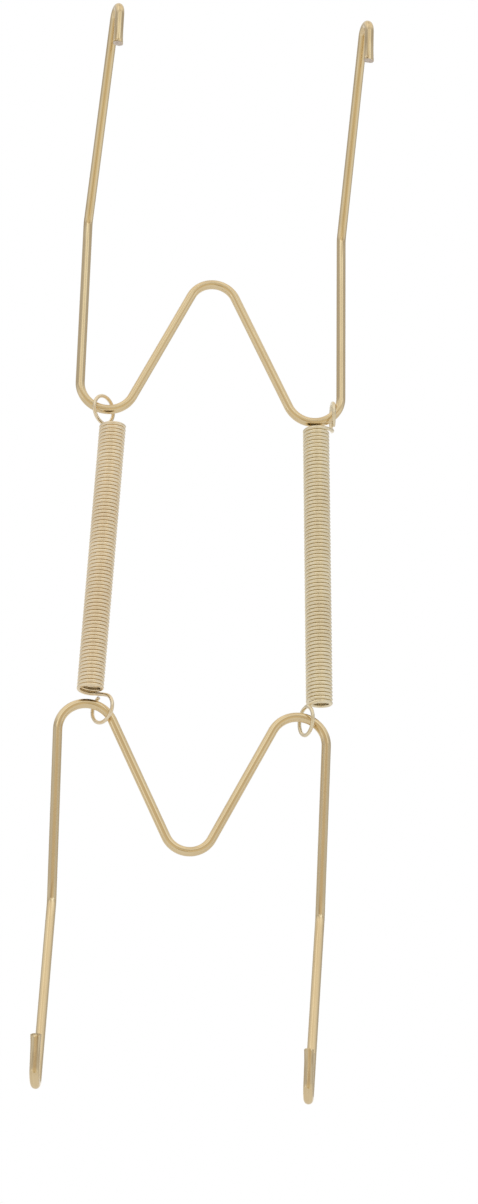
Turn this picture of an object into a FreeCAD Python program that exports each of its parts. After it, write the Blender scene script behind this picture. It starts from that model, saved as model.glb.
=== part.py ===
"""Wire plate hanger: two bent wires joined by two extension springs.

Frame: +Z up along the hanger, +X to the right seen from the front, the hooks reach towards -Y.
The origin is the seat of the nail, on the inside of the upper wire's peak.
"""
import FreeCAD, Part
import math
import os

Vector = FreeCAD.Vector
UP = Vector(0, 0, 1)

# Driving dimensions, in millimetres and degrees
SIZES = {
    # the bent wire, the same for both halves; its corners are measured before they are rounded
    "wire_diameter": 1.5,
    "corner_spacing": 43.0,
    "peak_height": 44.0,
    "peak_radius": 4.0,
    "bend_radius": 4.5,
    "arm_length": 48.5,
    "arm_lean": 0.66,
    "kink_angle": 20.9,
    "kink_turn": 9.7,
    "kink_radius": 3.0,
    "reach_length": 33.8,
    "hook_radius": 1.8,
    "hook_flare": 17.4,
    "hook_leg": 5.2,
    # how the lower wire lies below the upper one
    "lower_shift": -1.74,
    "lower_lean": 0.5,
    # the extension springs
    "spring_wire": 0.58,
    "coil_diameter": 4.3,
    "turn_gap": 0.029,
    "loop_slack": 1.25,
    "loop_sweep": 315,
    # whole turns of each spring, apart from the part turn between its loops
    "left_turns": 74,
    "right_turns": 76,
    # direction of each end loop round its coil
    "left_top_clock": 141,
    "left_bottom_clock": 5,
    "right_top_clock": 29,
    "right_bottom_clock": 186.5,
    # how far each loop stands out from the side of its coil
    "left_top_flare": 0.83,
    "left_bottom_flare": 0.8,
    "right_top_flare": 1.4,
    "right_bottom_flare": 0.93,
    # how much of the last turn opens out before its loop, and how far it lifts off the coil
    "left_top_opening": 120,
    "left_bottom_opening": 60,
    "right_top_opening": 90,
    "right_bottom_opening": 90,
    "left_top_rise": 1.2,
    "left_bottom_rise": 0.35,
    "right_top_rise": 0.45,
    "right_bottom_rise": 1.25,
    # place of each loop on its bend, from the bend's outermost point towards the arm
    "left_top_station": 6.4,
    "left_bottom_station": -32,
    "right_top_station": 43.5,
    "right_bottom_station": 17,
    # how far each loop's middle lies off the middle of the wire, out from the bend
    "left_top_hang": 0.14,
    "left_bottom_hang": 0.0,
    "right_top_hang": 0.1,
    "right_bottom_hang": -0.4,
}

VOLUME_TOLERANCE = 0.001

doc = FreeCAD.newDocument("plate_hanger")


def make_sheet():
    """Spreadsheet with one named cell for each driving dimension."""
    cells = doc.addObject("Spreadsheet::Sheet", "sizes")
    for row, (alias, value) in enumerate(SIZES.items(), start=1):
        cells.set(f"A{row}", alias)
        cells.set(f"B{row}", str(value))
        cells.setAlias(f"B{row}", alias)
    doc.recompute()
    return cells


sheet = make_sheet()


def size(alias):
    """Value of a driving dimension."""
    return float(getattr(sheet, alias))


def angle(alias):
    """Value of a driving angle, in radians."""
    return math.radians(size(alias))


def unit(vector):
    """The vector's direction, with length one."""
    return vector * (1 / vector.Length)


def rounding(before, corner, after, radius):
    """Start, middle, end and centre of the arc that rounds a corner."""
    back = unit(before - corner)
    ahead = unit(after - corner)
    half = back.getAngle(ahead) / 2
    centre = corner + unit(back + ahead) * (radius / math.sin(half))
    reach = radius / math.tan(half)
    middle = centre + unit(corner - centre) * radius
    return corner + back * reach, middle, corner + ahead * reach, centre


def rounded_path(corners, radii):
    """Edges of a path through the corners: straight runs joined by tangent arcs."""
    edges = []
    run_start = corners[0]
    for index, radius in enumerate(radii, start=1):
        start, middle, end, _ = rounding(*corners[index - 1:index + 2], radius)
        edges.append(Part.LineSegment(run_start, start).toShape())
        edges.append(Part.Arc(start, middle, end).toShape())
        run_start = end
    edges.append(Part.LineSegment(run_start, corners[-1]).toShape())
    return edges


def sweep_round(name, edges, diameter, placement):
    """One round wire along a path, as a sub-part with its own label and placement."""
    path = doc.addObject("Part::Feature", f"{name}_path")
    path.Shape = Part.Wire(edges)
    section = doc.addObject("Part::Circle", f"{name}_section")
    section.setExpression("Radius", f"sizes.{diameter} / 2")
    first = path.Shape.OrderedEdges[0]
    start = first.valueAt(first.FirstParameter)
    tangent = first.tangentAt(first.FirstParameter)
    section.Placement = FreeCAD.Placement(start, FreeCAD.Rotation(UP, tangent))
    part = doc.addObject("Part::Sweep", name)
    part.Sections = [section]
    part.Spine = (path, [f"Edge{number}" for number in range(1, len(edges) + 1)])
    part.Solid = True
    part.Frenet = False
    part.Label = name
    part.Placement = placement
    return part


def arm_corners(side):
    """Corners of one arm, from its spring corner out to the hook's tip; side is -1 left, 1 right."""
    spring_corner = Vector(side * size("corner_spacing") / 2, 0, -size("peak_height"))
    lean = angle("arm_lean")
    along_arm = Vector(-side * math.sin(lean), 0, math.cos(lean))
    kink = spring_corner + along_arm * size("arm_length")

    turn = angle("kink_turn")
    forward = Vector(math.sin(turn), -math.cos(turn), 0)
    bend = angle("kink_angle")
    along_reach = unit(along_arm * math.cos(bend) + forward * math.sin(bend))
    across_reach = unit(forward - along_reach * forward.dot(along_reach))

    flare = angle("hook_flare")
    along_leg = across_reach * math.sin(flare) - along_reach * math.cos(flare)
    hook_run = size("hook_radius") / math.tan(flare / 2)
    hook = kink + along_reach * (size("reach_length") + hook_run)
    tip = hook + along_leg * (hook_run + size("hook_leg"))
    return [spring_corner, kink, hook, tip]


def wire_corners():
    """Corners of the whole bent wire, from the left hook's tip to the right one's."""
    peak = Vector(0, 0, 0)
    return arm_corners(-1)[::-1] + [peak] + arm_corners(1)


def wire_radii():
    """Bending radius at each inner corner of the bent wire."""
    arm = [size("hook_radius"), size("kink_radius"), size("bend_radius")]
    return arm + [size("peak_radius")] + arm[::-1]


def bent_wire(name, placement):
    """The bent wire, the same for both halves, as a sub-part."""
    return sweep_round(name, rounded_path(wire_corners(), wire_radii()), "wire_diameter", placement)


def bend_point(side, station, off_wire=0):
    """Point at a station on one of the two spring bends: in the middle of the wire, or off it."""
    spring_corner, kink = arm_corners(side)[:2]
    centre = rounding(kink, spring_corner, Vector(0, 0, 0), size("bend_radius"))[3]
    outward = Vector(side * math.sin(station), 0, -math.cos(station))
    return centre + outward * (size("bend_radius") + off_wire)


def loop_point(side, end):
    """Where the middle of a spring's end loop lies on one of the two spring bends."""
    return bend_point(side, angle(f"{end}_station"), size(f"{end}_hang"))


def coil_radius():
    """Radius of the coil to the middle of its wire."""
    return (size("coil_diameter") - size("spring_wire")) / 2


def coil_pitch():
    """Rise of one turn: close wound, with the turns just clear of each other."""
    return size("spring_wire") + size("turn_gap")


def loop_radius():
    """Radius of an end loop to the middle of its wire, with slack round the bent wire."""
    return (size("wire_diameter") + size("spring_wire")) / 2 + size("loop_slack")


def end_loop(start, leaving, away):
    """Edge of a loop that leaves the coil's end and curls away from the coil, and the loop's centre."""
    radius = loop_radius()
    normal = unit(away - leaving * away.dot(leaving))
    centre = start + normal * radius

    def point(turned):
        return centre + leaving * (radius * math.sin(turned)) - normal * (radius * math.cos(turned))

    sweep = angle("loop_sweep")
    return Part.Arc(start, point(sweep / 2), point(sweep)).toShape(), centre


def radial(clock):
    """Direction out of the coil's axis at a clock angle."""
    return Vector(math.cos(clock), math.sin(clock), 0)


def coil_edges(bottom_clock, turns):
    """Coil from its bottom end up: half circles, each tilted to rise by half a pitch."""
    radius = coil_radius()
    rise = coil_pitch() / 2
    tilted_radius = math.hypot(radius, rise / 2)
    edges = []
    whole = math.floor(2 * turns)
    shares = [1] * whole + [2 * turns - whole]
    for index, share in enumerate(shares):
        clock = bottom_clock + index * math.pi
        sideways = radial(clock + math.pi / 2) * tilted_radius
        centre = UP * (rise * (index + 1 / 2))
        spoke = radial(clock) * radius - UP * (rise / 2)
        points = [centre + spoke * math.cos(turned) + sideways * math.sin(turned)
                  for turned in (0, share * math.pi / 2, share * math.pi)]
        edges.append(Part.Arc(*points).toShape())
    return edges


def tangent_arc(start, leaving, end):
    """Edge of the arc that leaves its start in a given direction and reaches its end."""
    chord = end - start
    along = unit(chord)
    aside = unit(leaving - along * leaving.dot(along))
    sagitta = chord.Length / 2 * math.tan(leaving.getAngle(chord) / 2)
    return Part.Arc(start, (start + end) / 2 + aside * sagitta, end).toShape()


def spring_end(end, start, leaving, away):
    """The end of the last turn, which opens out, and its loop: their edges and the loop's centre."""
    lift = coil_pitch() * size(f"{end}_opening") / 360 + size(f"{end}_rise")
    level = away * (start.dot(away) + lift)
    reach = coil_radius() + size(f"{end}_flare")
    opening = tangent_arc(start, leaving, radial(angle(f"{end}_clock")) * reach + level)
    foot = opening.valueAt(opening.LastParameter)
    loop, centre = end_loop(foot, opening.tangentAt(opening.LastParameter), away)
    return [opening, loop], centre


def spring_path(side):
    """Edges of a spring that stands at the origin, and the centres of its bottom and top loops."""
    bottom_clock = angle(f"{side}_bottom_clock")
    top_clock = angle(f"{side}_top_clock")
    part_turn = (top_clock - bottom_clock) % (2 * math.pi)
    bottom_opening = angle(f"{side}_bottom_opening")
    top_opening = angle(f"{side}_top_opening")
    turns = size(f"{side}_turns") + (part_turn - bottom_opening - top_opening) / (2 * math.pi)
    coil = coil_edges(bottom_clock + bottom_opening, turns)
    first, last = coil[0], coil[-1]
    lowest = first.valueAt(first.FirstParameter)
    onward_below = first.tangentAt(first.FirstParameter) * -1
    highest = last.valueAt(last.LastParameter)
    onward_above = last.tangentAt(last.LastParameter)
    bottom, bottom_centre = spring_end(f"{side}_bottom", lowest, onward_below, UP * -1)
    top, top_centre = spring_end(f"{side}_top", highest, onward_above, UP)
    return [edge.reversed() for edge in bottom[::-1]] + coil + top, bottom_centre, top_centre


# The upper wire hangs on the nail, with the inside of its peak at the origin
peak_half_angle = math.atan2(size("corner_spacing") / 2, size("peak_height"))
peak_rounding = size("peak_radius") * (1 / math.sin(peak_half_angle) - 1)
upper_place = FreeCAD.Placement(UP * (peak_rounding + size("wire_diameter") / 2), FreeCAD.Rotation())
upper_wire = bent_wire("upper_wire", upper_place)

# The lower wire is the same wire turned over, so its left bend is the right one of the drawing
turned_over = FreeCAD.Rotation(Vector(0, 1, 0), 180 + size("lower_lean"))
springs = {}
heights = []
for side, sign in (("left", -1), ("right", 1)):
    springs[side] = spring_path(side)
    _, bottom_centre, top_centre = springs[side]
    above = upper_place.multVec(loop_point(sign, f"{side}_top"))
    below = turned_over.multVec(loop_point(-sign, f"{side}_bottom"))
    sideways = below.x + size("lower_shift") - above.x
    drop = math.sqrt((top_centre - bottom_centre).Length ** 2 - sideways ** 2)
    heights.append(above.z - drop - below.z)

# It hangs as far down as the springs hold it, the mean of the two sides
lower_base = Vector(size("lower_shift"), 0, sum(heights) / len(heights))
lower_place = FreeCAD.Placement(lower_base, turned_over)
lower_wire = bent_wire("lower_wire", lower_place)

# Each spring runs from its loop on the upper bend to its loop on the lower bend
parts = [upper_wire, lower_wire]
for side, sign in (("left", -1), ("right", 1)):
    edges, bottom_centre, top_centre = springs[side]
    above = upper_place.multVec(loop_point(sign, f"{side}_top"))
    below = lower_place.multVec(loop_point(-sign, f"{side}_bottom"))
    lean = FreeCAD.Rotation(top_centre - bottom_centre, above - below)
    base = (above + below) / 2 - lean.multVec((top_centre + bottom_centre) / 2)
    parts.append(sweep_round(f"{side}_spring", edges, "spring_wire", FreeCAD.Placement(base, lean)))

doc.recompute()

# No object may have failed, and each wire holds its section times its length
for item in doc.Objects:
    if "Invalid" in item.State or "Error" in item.State:
        raise RuntimeError(f"{item.Label} failed: {item.State}")
for part in parts:
    if part.Shape.isNull() or not part.Shape.isValid():
        raise RuntimeError(f"{part.Label} has no valid shape")
    path_length = part.Spine[0].Shape.Length
    expected = math.pi * part.Sections[0].Radius.Value ** 2 * path_length
    if abs(part.Shape.Volume / expected - 1) > VOLUME_TOLERANCE:
        raise RuntimeError(f"{part.Label} has volume {part.Shape.Volume}, not {expected}")

os.makedirs("parts", exist_ok=True)
for part in parts:
    part.Shape.exportStep(f"parts/{part.Label}.step")
    box = part.Shape.BoundBox
    print(f"{part.Label}: {len(part.Shape.Solids)} solid, volume {part.Shape.Volume:.2f} mm3,",
          f"x {box.XMin:.2f} to {box.XMax:.2f}, y {box.YMin:.2f} to {box.YMax:.2f},",
          f"z {box.ZMin:.2f} to {box.ZMax:.2f}")
for side, sign in (("left", -1), ("right", 1)):
    upper_point = upper_place.multVec(bend_point(sign, angle(f"{side}_top_station")))
    lower_point = lower_place.multVec(bend_point(-sign, angle(f"{side}_bottom_station")))
    print(f"{side} loops on the wires at {upper_point} and {lower_point}")
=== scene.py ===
"""Looks of the wire plate hanger: plated bent wires, plated springs and their bare cut ends."""
import math
import random
from collections import namedtuple

import bpy
from mathutils import Matrix, Vector


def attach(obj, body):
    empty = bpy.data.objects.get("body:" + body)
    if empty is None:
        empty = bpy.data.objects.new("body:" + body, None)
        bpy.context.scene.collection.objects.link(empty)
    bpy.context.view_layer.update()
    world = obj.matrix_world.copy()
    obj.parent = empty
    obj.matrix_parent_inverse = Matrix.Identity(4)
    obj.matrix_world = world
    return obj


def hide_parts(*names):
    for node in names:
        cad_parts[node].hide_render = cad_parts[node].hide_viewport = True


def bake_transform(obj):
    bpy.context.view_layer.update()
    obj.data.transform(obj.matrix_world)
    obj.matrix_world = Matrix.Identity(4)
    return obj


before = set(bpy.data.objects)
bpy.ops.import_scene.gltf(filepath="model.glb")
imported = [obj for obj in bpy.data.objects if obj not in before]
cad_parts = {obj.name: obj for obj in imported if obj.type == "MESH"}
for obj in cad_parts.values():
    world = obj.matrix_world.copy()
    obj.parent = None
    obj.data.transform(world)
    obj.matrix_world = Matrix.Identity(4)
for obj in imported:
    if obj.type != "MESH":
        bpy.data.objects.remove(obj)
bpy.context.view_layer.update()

MM = 0.001
UP = Vector((0, 0, 1))
FULL_TURN = 2 * math.pi
WHITE = (1, 1, 1)

# Sizes of the bent wire, as in the CAD model, in millimetres and radians
WIRE_RADIUS = 0.75
CORNER_SPACING = 43.0
PEAK_HEIGHT = 44.0
PEAK_RADIUS = 4.0
BEND_RADIUS = 4.5
ARM_LENGTH = 48.5
ARM_LEAN = math.radians(0.66)
KINK_ANGLE = math.radians(20.9)
KINK_TURN = math.radians(9.7)
KINK_RADIUS = 3.0
REACH_LENGTH = 33.8
HOOK_RADIUS = 1.8
HOOK_FLARE = math.radians(17.4)
HOOK_LEG = 5.2
LOWER_SHIFT = -1.74
LOWER_LEAN = math.radians(0.5)

# Sizes of the springs, as in the CAD model, but with wire that all but fills the pitch
SPRING_RADIUS = 0.299
COIL_RADIUS = 1.86
COIL_PITCH = 0.609
LOOP_RADIUS = 2.29
LOOP_SWEEP = math.radians(315)

# Each end of a spring: the clock angle of its loop's foot, how far the foot flares out of the coil,
# the angle over which the last turn opens and its rise, and the loop's station on the wire's bend
# and hang off the wire's middle, in degrees and millimetres
SpringEnd = namedtuple("SpringEnd", "clock flare opening rise station hang")
SPRINGS = {
    "left": {
        "turns": 74,
        "top": SpringEnd(clock=141, flare=0.83, opening=120, rise=1.2, station=6.4, hang=0.14),
        "bottom": SpringEnd(clock=5, flare=0.8, opening=60, rise=0.35, station=-32, hang=0.0),
    },
    "right": {
        "turns": 76,
        "top": SpringEnd(clock=29, flare=1.4, opening=90, rise=0.45, station=43.5, hang=0.1),
        "bottom": SpringEnd(clock=186.5, flare=0.93, opening=90, rise=1.25, station=17, hang=-0.4),
    },
}

# How far the tool marks reach from a kink and from a hook's tip, and how the cut ends spread
KINK_MARKS = 4.0
LEG_MARKS = 7.0
SPREAD_LENGTH = 2.5
SPREAD = 0.12

# A sheared wire end: its ragged lip, the slant of the cut, and the face and dished core inside
RAGGED = 0.03
SLANT = 0.12
LIP_LIFT = 0.02
FACE_SHARE = 0.93
CORE_SHARE = 0.5
CORE_SLANT = 0.55
CORE_DEPTH = 0.05
# A clipped spring end: share of the radius and lift of its chamfer and its face
CLIPPED_RINGS = ((0.9, 0.03), (0.6, 0.035))

# How finely the pieces are meshed
WIRE_SIDES = 24
SPRING_SIDES = 14
WIRE_STEP = 0.6
ARC_STEP = math.radians(6)
COIL_STEP = math.radians(10)


def line_points(start, end, step):
    """Points along a straight run, without its last one."""
    count = max(1, round((end - start).length / step))
    return [start.lerp(end, index / count) for index in range(count)]


def arc_points(centre, spoke, sideways, sweep, step):
    """Points along an arc, without its last one: it starts at the spoke and turns to sideways."""
    count = max(2, round(sweep / step))
    turns = [sweep * index / count for index in range(count)]
    return [centre + spoke * math.cos(turned) + sideways * math.sin(turned) for turned in turns]


def rounding(before, corner, after, radius):
    """Start, end, centre and turn of the arc that rounds a corner."""
    back = (before - corner).normalized()
    ahead = (after - corner).normalized()
    half = back.angle(ahead) / 2
    centre = corner + (back + ahead).normalized() * (radius / math.sin(half))
    reach = radius / math.tan(half)
    return corner + back * reach, corner + ahead * reach, centre, math.pi - 2 * half


def arm_corners(side):
    """Corners of one arm, from its spring corner to the hook's tip; side is -1 left, 1 right."""
    spring_corner = Vector((side * CORNER_SPACING / 2, 0, -PEAK_HEIGHT))
    along_arm = Vector((-side * math.sin(ARM_LEAN), 0, math.cos(ARM_LEAN)))
    kink = spring_corner + along_arm * ARM_LENGTH
    forward = Vector((math.sin(KINK_TURN), -math.cos(KINK_TURN), 0))
    along_reach = along_arm * math.cos(KINK_ANGLE) + forward * math.sin(KINK_ANGLE)
    along_reach = along_reach.normalized()
    across_reach = (forward - along_reach * forward.dot(along_reach)).normalized()
    along_leg = across_reach * math.sin(HOOK_FLARE) - along_reach * math.cos(HOOK_FLARE)
    hook_run = HOOK_RADIUS / math.tan(HOOK_FLARE / 2)
    hook = kink + along_reach * (REACH_LENGTH + hook_run)
    return [spring_corner, kink, hook, hook + along_leg * (hook_run + HOOK_LEG)]


def wire_points():
    """Centre line of the bent wire, from the left hook's tip to the right one's."""
    corners = arm_corners(-1)[::-1] + [Vector((0, 0, 0))] + arm_corners(1)
    arm = [HOOK_RADIUS, KINK_RADIUS, BEND_RADIUS]
    radii = arm + [PEAK_RADIUS] + arm[::-1]
    points = []
    run_start = corners[0]
    for index, radius in enumerate(radii, start=1):
        start, end, centre, turn = rounding(*corners[index - 1:index + 2], radius)
        points += line_points(run_start, start, WIRE_STEP)
        sideways = (start - run_start).normalized() * radius
        points += arc_points(centre, start - centre, sideways, turn, ARC_STEP)
        run_start = end
    return points + line_points(run_start, corners[-1], WIRE_STEP) + [corners[-1]]


def tool_marks(points):
    """How strongly the bending tool has marked each point: most at the kinks and hooks' legs."""
    marked = []
    for side in (-1, 1):
        _, kink, _, tip = arm_corners(side)
        marked += [(kink, KINK_MARKS), (tip, LEG_MARKS)]
    return [max(max(0, 1 - (point - spot).length / reach) for spot, reach in marked)
            for point in points]


def loop_point(side, end):
    """Where the middle of a spring's end loop lies on one of the wire's two spring bends."""
    station = math.radians(end.station)
    spring_corner, kink = arm_corners(side)[:2]
    centre = rounding(kink, spring_corner, Vector((0, 0, 0)), BEND_RADIUS)[2]
    outward = Vector((side * math.sin(station), 0, -math.cos(station)))
    return centre + outward * (BEND_RADIUS + end.hang)


def radial(clock):
    """Direction out of the coil's axis at a clock angle."""
    return Vector((math.cos(clock), math.sin(clock), 0))


def tangent_arc(start, leaving, end, step):
    """Points of the arc that leaves its start in a direction, and its direction at the end."""
    chord = end - start
    along = chord.normalized()
    aside = (leaving - along * leaving.dot(along)).normalized()
    half = leaving.angle(chord)
    radius = chord.length / 2 / math.sin(half)
    spoke = (along * -math.sin(half) + aside * math.cos(half)) * radius
    points = arc_points(start - spoke, spoke, leaving * radius, 2 * half, step)
    return points, along * math.cos(half) - aside * math.sin(half)


def spring_end(start, leaving, away, end):
    """Points of the opened end of the last turn and its loop, and the loop's centre."""
    lift = COIL_PITCH * end.opening / 360 + end.rise
    foot = radial(math.radians(end.clock)) * (COIL_RADIUS + end.flare)
    foot = foot + away * (start.dot(away) + lift)
    points, direction = tangent_arc(start, leaving, foot, COIL_STEP)
    normal = (away - direction * away.dot(direction)).normalized()
    centre = foot + normal * LOOP_RADIUS
    points += arc_points(centre, normal * -LOOP_RADIUS, direction * LOOP_RADIUS, LOOP_SWEEP,
                         COIL_STEP)
    tip = centre - normal * (LOOP_RADIUS * math.cos(LOOP_SWEEP))
    tip = tip + direction * (LOOP_RADIUS * math.sin(LOOP_SWEEP))
    return points + [tip], centre


def spring_points(spring):
    """Centre line of a spring that stands at the origin, and its bottom and top loops' centres."""
    bottom, top = spring["bottom"], spring["top"]
    bottom_clock = math.radians(bottom.clock)
    part_turn = (math.radians(top.clock) - bottom_clock) % FULL_TURN
    bottom_opening = math.radians(bottom.opening)
    top_opening = math.radians(top.opening)
    sweep = FULL_TURN * spring["turns"] + part_turn - bottom_opening - top_opening
    first = bottom_clock + bottom_opening
    count = round(sweep / COIL_STEP)
    clocks = [first + sweep * index / count for index in range(count + 1)]
    climb = COIL_PITCH / FULL_TURN
    coil = [radial(clock) * COIL_RADIUS + UP * (climb * (clock - first)) for clock in clocks]

    slope = UP * climb
    leaving_bottom = -(radial(clocks[0] + math.pi / 2) * COIL_RADIUS + slope).normalized()
    leaving_top = (radial(clocks[-1] + math.pi / 2) * COIL_RADIUS + slope).normalized()
    bottom_points, bottom_centre = spring_end(coil[0], leaving_bottom, -UP, bottom)
    top_points, top_centre = spring_end(coil[-1], leaving_top, UP, top)
    return bottom_points[:0:-1] + coil + top_points[1:], bottom_centre, top_centre


def frames_along(points):
    """A direction and two cross directions at each point, carried along without twist."""
    tangents = []
    for index in range(len(points)):
        ahead = points[min(index + 1, len(points) - 1)]
        behind = points[max(index - 1, 0)]
        tangents.append((ahead - behind).normalized())
    side = tangents[0].orthogonal().normalized()
    carried = []
    for tangent in tangents:
        side = (side - tangent * side.dot(tangent)).normalized()
        carried.append((tangent, side, tangent.cross(side)))
    return carried


def spokes(across, over, sides):
    """Directions out of the wire's middle, once round."""
    turns = [FULL_TURN * step / sides for step in range(sides)]
    return [across * math.cos(turned) + over * math.sin(turned) for turned in turns]


def sheared_end(name, at_start, sides):
    """Rings of a sheared wire end: a ragged lip that stands out, then the slanted cut face."""
    chance = random.Random(f"{name} {at_start}")
    lean = chance.uniform(0, FULL_TURN)
    ragged = [chance.uniform(-RAGGED, RAGGED) for _ in range(sides)]
    slant = [SLANT * math.cos(FULL_TURN * step / sides - lean) for step in range(sides)]
    lip = [1.0 + uneven for uneven in ragged]
    edge = [LIP_LIFT + lift + uneven for lift, uneven in zip(slant, ragged)]
    core = [lift * CORE_SLANT - CORE_DEPTH for lift in slant]
    return [(lip, edge), ([FACE_SHARE] * sides, slant), ([CORE_SHARE] * sides, core)]


def clipped_end(_name, _at_start, sides):
    """Rings of a clipped spring end: nearly square, with a small chamfer."""
    return [([share] * sides, [lift] * sides) for share, lift in CLIPPED_RINGS]


def tube(name, points, radius, sides, place, end_shape, spread=0, marks=None):
    """A round wire along points in millimetres, with UVs in millimetres and shaped ends."""
    carried = frames_along(points)
    lengths = [0.0]
    for before, after in zip(points, points[1:]):
        lengths.append(lengths[-1] + (after - before).length)
    steps = [(step, (step + 1) % sides) for step in range(sides)]
    vertices, faces, face_uvs, cut_faces = [], [], [], []

    def add_ring(ring):
        """Adds a ring of vertices and gives their numbers."""
        vertices.extend(ring)
        return range(len(vertices) - sides, len(vertices))

    rows = []
    for point, length, (_, across, over) in zip(points, lengths, carried):
        to_end = min(length, lengths[-1] - length)
        ring_radius = radius * (1 + spread * max(0, 1 - to_end / SPREAD_LENGTH) ** 2)
        ring = [point + spoke * ring_radius for spoke in spokes(across, over, sides)]
        rows.append(add_ring(ring))

    girth = FULL_TURN * radius
    for row, next_row, length, next_length in zip(rows, rows[1:], lengths, lengths[1:]):
        for step, following in steps:
            faces.append((row[step], row[following], next_row[following], next_row[step]))
            near, far = girth * step / sides, girth * (step + 1) / sides
            face_uvs.append(((near, length), (far, length),
                             (far, next_length), (near, next_length)))

    end_radius = radius * (1 + spread)
    for index, at_start in ((0, True), (len(points) - 1, False)):
        tangent, across, over = carried[index]
        outward = -tangent if at_start else tangent
        previous = rows[index]
        for level, (shares, lifts) in enumerate(end_shape(name, at_start, sides)):
            placed = zip(spokes(across, over, sides), shares, lifts)
            ring = add_ring([points[index] + spoke * (end_radius * share) + outward * lift
                             for spoke, share, lift in placed])
            for step, following in steps:
                order = (previous[step], ring[step], ring[following], previous[following])
                faces.append(order if at_start else order[::-1])
                face_uvs.append(((0, lengths[index]),) * 4)
                if level > 0:
                    cut_faces.append(len(faces) - 1)
            previous = ring
        middle = len(vertices)
        vertices.append(points[index] + outward * (sum(lifts) / sides))
        for step, following in steps:
            order = (previous[step], middle, previous[following])
            faces.append(order if at_start else order[::-1])
            face_uvs.append(((0, lengths[index]),) * 3)
            cut_faces.append(len(faces) - 1)

    mesh = bpy.data.meshes.new(name)
    mesh.from_pydata([tuple((place @ vertex) * MM) for vertex in vertices], [], faces)
    layer = mesh.uv_layers.new(name="wire_mm")
    corners = [corner for face in face_uvs for corner in face]
    for loop, corner in zip(layer.data, corners):
        loop.uv = corner
    for polygon in mesh.polygons:
        polygon.use_smooth = True
    if marks:
        worked = mesh.attributes.new("worked", "FLOAT", "POINT")
        for row, mark in zip(rows, marks):
            for vertex in row:
                worked.data[vertex].value = mark
    for index in cut_faces:
        mesh.polygons[index].material_index = 1
        mesh.polygons[index].use_smooth = False
    mesh.update()
    piece = bpy.data.objects.new(name, mesh)
    bpy.context.scene.collection.objects.link(piece)
    return piece


def joined(tree, source, socket):
    """Sets a node's socket to a plain value or colour, or links it to another node."""
    if isinstance(source, (int, float)):
        socket.default_value = source
    elif isinstance(source, tuple):
        socket.default_value = (*source, 1)
    else:
        tree.links.new(source, socket)


def noise(tree, source, scale, detail, roughness):
    """A noise texture over a texture coordinate."""
    texture = tree.nodes.new("ShaderNodeTexNoise")
    texture.inputs["Scale"].default_value = scale
    texture.inputs["Detail"].default_value = detail
    texture.inputs["Roughness"].default_value = roughness
    tree.links.new(source, texture.inputs["Vector"])
    return texture.outputs["Fac"]


def scaled(tree, source, scale):
    """A texture coordinate that is scaled along each axis."""
    node = tree.nodes.new("ShaderNodeMapping")
    node.inputs["Scale"].default_value = scale
    tree.links.new(source, node.inputs["Vector"])
    return node.outputs["Vector"]


def ramp(tree, source, *stops):
    """A colour ramp over a value, given as positions and colours."""
    node = tree.nodes.new("ShaderNodeValToRGB")
    elements = node.color_ramp.elements
    while len(elements) < len(stops):
        elements.new(0.5)
    for element, (position, colour) in zip(elements, stops):
        element.position = position
        element.color = (*colour, 1)
    tree.links.new(source, node.inputs["Fac"])
    return node.outputs["Color"]


def scaled_range(tree, source, lowest, highest, at_lowest, at_highest):
    """A value carried from one range to another."""
    node = tree.nodes.new("ShaderNodeMapRange")
    node.inputs["From Min"].default_value = lowest
    node.inputs["From Max"].default_value = highest
    node.inputs["To Min"].default_value = at_lowest
    node.inputs["To Max"].default_value = at_highest
    tree.links.new(source, node.inputs["Value"])
    return node.outputs["Result"]


def mixed(tree, factor, first, second, blend_type="MIX"):
    """A colour made from two."""
    node = tree.nodes.new("ShaderNodeMix")
    node.data_type = "RGBA"
    node.blend_type = blend_type
    joined(tree, factor, node.inputs["Factor"])
    joined(tree, first, node.inputs["A"])
    joined(tree, second, node.inputs["B"])
    return node.outputs["Result"]


def combined(tree, operation, first, second):
    """One value made from two."""
    node = tree.nodes.new("ShaderNodeMath")
    node.operation = operation
    joined(tree, first, node.inputs[0])
    joined(tree, second, node.inputs[1])
    return node.outputs["Value"]


def roughen(tree, shader, height, strength, distance):
    """Gives a shader fine relief."""
    bump = tree.nodes.new("ShaderNodeBump")
    bump.inputs["Strength"].default_value = strength
    bump.inputs["Distance"].default_value = distance
    tree.links.new(height, bump.inputs["Height"])
    tree.links.new(bump.outputs["Normal"], shader.inputs["Normal"])


def new_material(name):
    """A new material, its node tree and its shader."""
    material = bpy.data.materials.new(name)
    material.use_nodes = True
    return material, material.node_tree, material.node_tree.nodes["Principled BSDF"]


# Noise of the plating: cycles for each millimetre round and along the wire of the die lines and
# the tool's scratches, and cycles for each metre of the cloudy tone
DIE_LINES = (3.0, 0.05, 1.0)
SCRATCHES = (2.6, 0.16, 1.0)
CLOUDS = 110.0
# Where on the noise the tones lie, and what the die lines and scratches do to the colour
CLOUD_TONES = (0.33, 0.62)
CLOUD_GLOSS = (0.3, 0.7)
LINE_STOPS = ((0.3, (0.94, 0.925, 0.91)), (0.6, WHITE))
SCRATCH_STOPS = ((0.38, (0.70, 0.64, 0.57)), (0.47, WHITE), (0.60, (1.15, 1.17, 1.2)))
LINE_RELIEF = {"strength": 0.05, "distance": 0.00003}
# The torn grain of the bare steel
GRAIN = 2500.0
GRAIN_STOPS = ((0.0, (0.50, 0.44, 0.40)), (1.0, (0.90, 0.84, 0.80)))
GRAIN_RELIEF = {"strength": 0.5, "distance": 0.00005}
BARE_ROUGHNESS = 0.45


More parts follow.
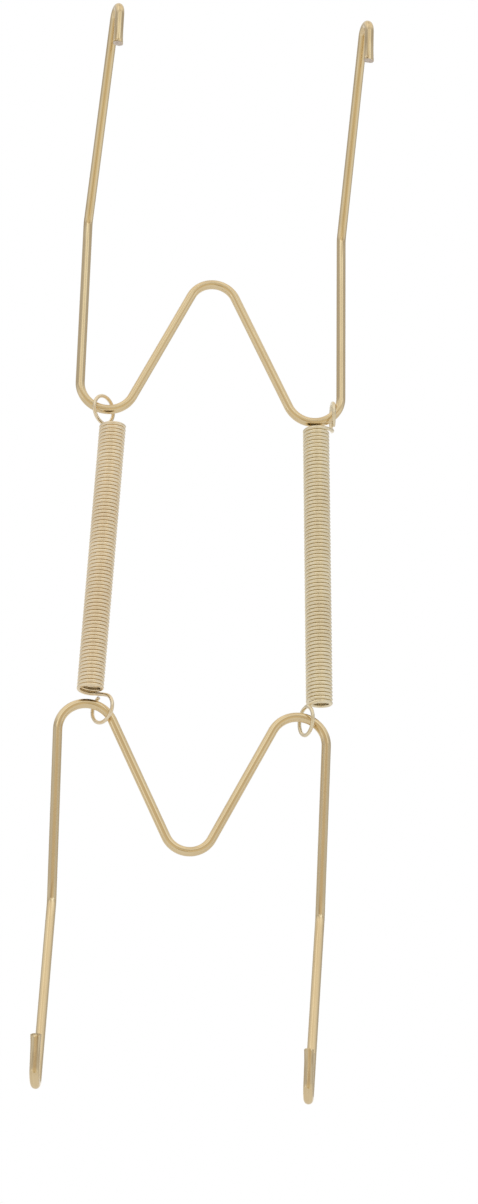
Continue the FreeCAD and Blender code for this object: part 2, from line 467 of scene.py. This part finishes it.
def plated_material(name, bright, dull, bright_roughness, dull_roughness):
    """Gold-coloured plating: cloudy tone, faint die lines along the wire, and tool scratches."""
    material, tree, shader = new_material(name)
    shader.inputs["Metallic"].default_value = 1.0
    along = tree.nodes.new("ShaderNodeUVMap")
    along.uv_map = "wire_mm"
    place = tree.nodes.new("ShaderNodeTexCoord")
    lines = noise(tree, scaled(tree, along.outputs["UV"], DIE_LINES), 1.0, 3.0, 0.5)
    scratches = noise(tree, scaled(tree, along.outputs["UV"], SCRATCHES), 1.0, 2.0, 0.6)
    clouds = noise(tree, place.outputs["Object"], CLOUDS, 3.0, 0.5)

    tone = ramp(tree, clouds, *zip(CLOUD_TONES, (dull, bright)))
    lined = mixed(tree, 1.0, tone, ramp(tree, lines, *LINE_STOPS), "MULTIPLY")
    worked = tree.nodes.new("ShaderNodeAttribute")
    worked.attribute_name = "worked"
    marks = ramp(tree, scratches, *SCRATCH_STOPS)
    marked = mixed(tree, worked.outputs["Fac"], lined, marks, "MULTIPLY")
    tree.links.new(marked, shader.inputs["Base Color"])

    gloss = scaled_range(tree, clouds, *CLOUD_GLOSS, dull_roughness, bright_roughness)
    tree.links.new(gloss, shader.inputs["Roughness"])
    roughen(tree, shader, lines, **LINE_RELIEF)
    return material


def bare_material():
    """Bare steel of the cut ends: grey with a warm stain and a torn, rough face."""
    material, tree, shader = new_material("bare_cut")
    shader.inputs["Metallic"].default_value = 1.0
    shader.inputs["Roughness"].default_value = BARE_ROUGHNESS
    place = tree.nodes.new("ShaderNodeTexCoord")
    grain = noise(tree, place.outputs["Object"], GRAIN, 2.0, 0.5)
    tree.links.new(ramp(tree, grain, *GRAIN_STOPS), shader.inputs["Base Color"])
    roughen(tree, shader, grain, **GRAIN_RELIEF)
    return material


wire_finish = plated_material(
    "plated_wire", (0.83, 0.68, 0.43), (0.79, 0.64, 0.40), 0.10, 0.17)
spring_finishes = {
    "left": plated_material(
        "plated_left_spring", (0.95, 0.83, 0.62), (0.90, 0.77, 0.56), 0.20, 0.30),
    "right": plated_material(
        "plated_right_spring", (0.91, 0.82, 0.61), (0.86, 0.76, 0.55), 0.20, 0.30),
}
cut_finish = bare_material()

# Where the wires lie: the lower one is the same wire turned over, as far below as the springs reach
half_peak = math.atan2(CORNER_SPACING / 2, PEAK_HEIGHT)
peak_rounding = PEAK_RADIUS * (1 / math.sin(half_peak) - 1)
upper_place = Matrix.Translation(UP * (peak_rounding + WIRE_RADIUS))
turned_over = Matrix.Rotation(math.pi + LOWER_LEAN, 4, "Y")

upper_points = {}
lower_points = {}
standing = {}
heights = []
for side, sign in (("left", -1), ("right", 1)):
    standing[side] = spring_points(SPRINGS[side])
    _, bottom_centre, top_centre = standing[side]
    upper_points[side] = upper_place @ loop_point(sign, SPRINGS[side]["top"])
    lower_points[side] = turned_over @ loop_point(-sign, SPRINGS[side]["bottom"])
    lower_points[side] += Vector((LOWER_SHIFT, 0, 0))
    sideways = lower_points[side].x - upper_points[side].x
    drop = math.sqrt((top_centre - bottom_centre).length ** 2 - sideways ** 2)
    heights.append(upper_points[side].z - drop - lower_points[side].z)
lower_base = Vector((LOWER_SHIFT, 0, sum(heights) / len(heights)))
lower_place = Matrix.Translation(lower_base) @ turned_over

# The two bent wires
wires = (("upper_wire", "upper", upper_place), ("lower_wire", "lower", lower_place))
for node, body, place in wires:
    points = wire_points()
    piece = tube(f"{node}_plated", points, WIRE_RADIUS, WIRE_SIDES, place, sheared_end, SPREAD,
                 tool_marks(points))
    piece.data.materials.append(wire_finish)
    piece.data.materials.append(cut_finish)
    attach(piece, body)
    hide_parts(node)

# The two springs: their coils stretch between the upper and the lower loops
for side, (points, bottom_centre, top_centre) in standing.items():
    lower_points[side] += UP * lower_base.z
    span = upper_points[side] - lower_points[side]
    lean = (top_centre - bottom_centre).rotation_difference(span)
    middle = (upper_points[side] + lower_points[side]) / 2
    base = middle - lean @ ((top_centre + bottom_centre) / 2)
    place = Matrix.Translation(base) @ lean.to_matrix().to_4x4()
    piece = tube(f"{side}_spring_plated", points, SPRING_RADIUS, SPRING_SIDES, place, clipped_end)
    piece.data.materials.append(spring_finishes[side])
    piece.data.materials.append(cut_finish)
    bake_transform(piece)
    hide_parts(f"{side}_spring")

# Plain pale floor, well below the hanging part; before its seam the metal mirrors the room instead
FLOOR_Z = -0.45
FLOOR_SIZE = 40
FLOOR_SEAM = -0.8
FLOOR_COLOUR = (0.80, 0.78, 0.75)
FLOOR_ROUGHNESS = 0.8
floor_finish, _, floor_shader = new_material("floor")
floor_shader.inputs["Base Color"].default_value = (*FLOOR_COLOUR, 1)
floor_shader.inputs["Roughness"].default_value = FLOOR_ROUGHNESS
for name, sign in (("floor", 1), ("front_floor", -1)):
    middle = FLOOR_SEAM + sign * FLOOR_SIZE / 2
    bpy.ops.mesh.primitive_plane_add(size=FLOOR_SIZE, location=(0, middle, FLOOR_Z))
    floor = bpy.context.object
    floor.name = name
    floor.visible_glossy = name == "floor"
    floor.data.materials.append(floor_finish)

# Camera, looking up at the hanging part as the photograph does, in metres, degrees and millimetres
VIEW_TARGET = Vector((5.556, 1.799, -54.009)) * MM
VIEW_DISTANCE = 0.731
VIEW_AZIMUTH = -5.751
VIEW_ELEVATION = -21.334
VIEW_ROLL = 1.305
SENSOR_HEIGHT = 36
LENS = 136.659
CLIP_START = 0.01


def seen_from(azimuth, elevation):
    """Direction out of the part, by azimuth from its front and elevation in degrees."""
    azimuth, elevation = math.radians(azimuth), math.radians(elevation)
    level = math.cos(elevation)
    return Vector((math.sin(azimuth) * level, -math.cos(azimuth) * level, math.sin(elevation)))


camera_data = bpy.data.cameras.new("camera")
camera_data.sensor_fit = "VERTICAL"
camera_data.sensor_height = SENSOR_HEIGHT
camera_data.lens = LENS
camera_data.clip_start = CLIP_START
camera = bpy.data.objects.new("camera", camera_data)
bpy.context.scene.collection.objects.link(camera)
back = seen_from(VIEW_AZIMUTH, VIEW_ELEVATION)
right = (-back).cross(UP).normalized()
over = right.cross(-back)
roll = Matrix.Rotation(math.radians(VIEW_ROLL), 3, back)
axes = Matrix((roll @ right, roll @ over, back)).transposed().to_4x4()
camera.matrix_world = Matrix.Translation(VIEW_TARGET + back * VIEW_DISTANCE) @ axes
bpy.context.scene.camera = camera

# Soft lamps that face the part: azimuth and elevation in degrees, distance and size in metres, and
# the light of each, as the metal mirrors it
LAMPS = (
    ("key_softbox", 4, 30.0, 0.64, 0.95, 0.2, (0.31, 0.37, 0.42)),
    ("left_strip", -53, 52, 0.6, 0.12, 0.5, (0.25, 0.26, 0.28)),
    ("right_strip", 26, 52, 0.6, 0.12, 0.5, (0.12, 0.13, 0.14)),
    ("left_low", -38, 21.8, 0.63, 0.4, 0.035, (0.36, 0.37, 0.38)),
    ("right_low", 50, 21.8, 0.63, 0.4, 0.035, (0.36, 0.37, 0.38)),
    ("left_under", -63, -9.1, 0.62, 0.2, 0.075, (0.28, 0.28, 0.27)),
    ("left_fill", -80, 6, 0.6, 0.7, 0.3, (0.11, 0.12, 0.13)),
    ("right_fill", 74, 6, 0.6, 0.7, 0.3, (0.11, 0.12, 0.13)),
)
for name, azimuth, elevation, distance, width, height, colour in LAMPS:
    light = bpy.data.lights.new(name, "AREA")
    light.shape = "RECTANGLE"
    light.size = width
    light.size_y = height
    light.color = colour
    light.energy = math.pi * width * height
    lamp = bpy.data.objects.new(name, light)
    bpy.context.scene.collection.objects.link(lamp)
    away = seen_from(azimuth, elevation)
    lamp.location = VIEW_TARGET + away * distance
    lamp.rotation_euler = away.to_track_quat("Z", "Y").to_euler()

# The room, as the metal mirrors it, from straight below to straight above, and its warm front wall
ROOM_LEVELS = (
    (0.00, (0.95, 0.95, 0.95)),
    (0.25, (0.88, 0.87, 0.85)),
    (0.50, (0.68, 0.67, 0.65)),
    (0.62, (0.50, 0.49, 0.49)),
    (0.72, (0.50, 0.49, 0.49)),
    (0.85, (0.85, 0.83, 0.80)),
    (0.95, (0.86, 0.80, 0.71)),
    (0.98, (0.90, 0.86, 0.80)),
    (1.00, (0.66, 0.62, 0.58)),
)
FRONT_LEVELS = (
    (0.15, (0.90, 0.87, 0.80)),
    (0.32, (0.76, 0.68, 0.51)),
    (0.50, (0.70, 0.62, 0.48)),
    (0.68, (0.61, 0.53, 0.42)),
    (0.85, (0.80, 0.75, 0.66)),
)
# Dark spots on the front wall, a stand and the camera: colour, place and half size in the
# direction's x and z, and the share of the half size over which their edges fade
DARK_SPOTS = (
    ((0.08, 0.05, 0.03), (0.093, 0.475), (0.065, 0.08)),
    ((0.45, 0.38, 0.27), (-0.093, -0.364), (0.18, 0.16)),
)
SPOT_EDGE = (0.6, 1.2)
# How far forward and back, in the direction's y, the front wall and the white backdrop fade in
FRONT_EDGE = (-0.6, -0.85)
BACKDROP_EDGE = (0.75, 0.95)
EVEN_GREY = (0.92, 0.92, 0.92)

world = bpy.data.worlds.new("room")
bpy.context.scene.world = world
world.use_nodes = True
room = world.node_tree
direction = room.nodes.new("ShaderNodeTexCoord")
split = room.nodes.new("ShaderNodeSeparateXYZ")
room.links.new(direction.outputs["Generated"], split.inputs["Vector"])
across, depth, height = (split.outputs[axis] for axis in "XYZ")

raised = scaled_range(room, height, -1, 1, 0, 1)
in_front = scaled_range(room, depth, *FRONT_EDGE, 0, 1)
front_wall = ramp(room, raised, *FRONT_LEVELS)
walls = mixed(room, in_front, ramp(room, raised, *ROOM_LEVELS), front_wall)
for colour, place, extent in DARK_SPOTS:
    spot = in_front
    for coordinate, middle, half in zip((across, height), place, extent):
        off = combined(room, "ABSOLUTE", combined(room, "SUBTRACT", coordinate, middle), 0)
        inner, outer = (half * share for share in SPOT_EDGE)
        spot = combined(room, "MULTIPLY", spot, scaled_range(room, off, inner, outer, 1, 0))
    walls = mixed(room, spot, walls, colour)
behind = scaled_range(room, depth, *BACKDROP_EDGE, 0, 1)
mirrored_room = mixed(room, behind, walls, WHITE)

# Cameras see plain white, metal sees the room, and other surfaces an even grey
ray = room.nodes.new("ShaderNodeLightPath").outputs
mirrored = combined(room, "MAXIMUM", ray["Is Glossy Ray"], ray["Is Transmission Ray"])
lit = mixed(room, mirrored, EVEN_GREY, mirrored_room)
shown = mixed(room, ray["Is Camera Ray"], lit, WHITE)
room.links.new(shown, room.nodes["Background"].inputs["Color"])

bpy.context.scene.view_settings.view_transform = "Standard"
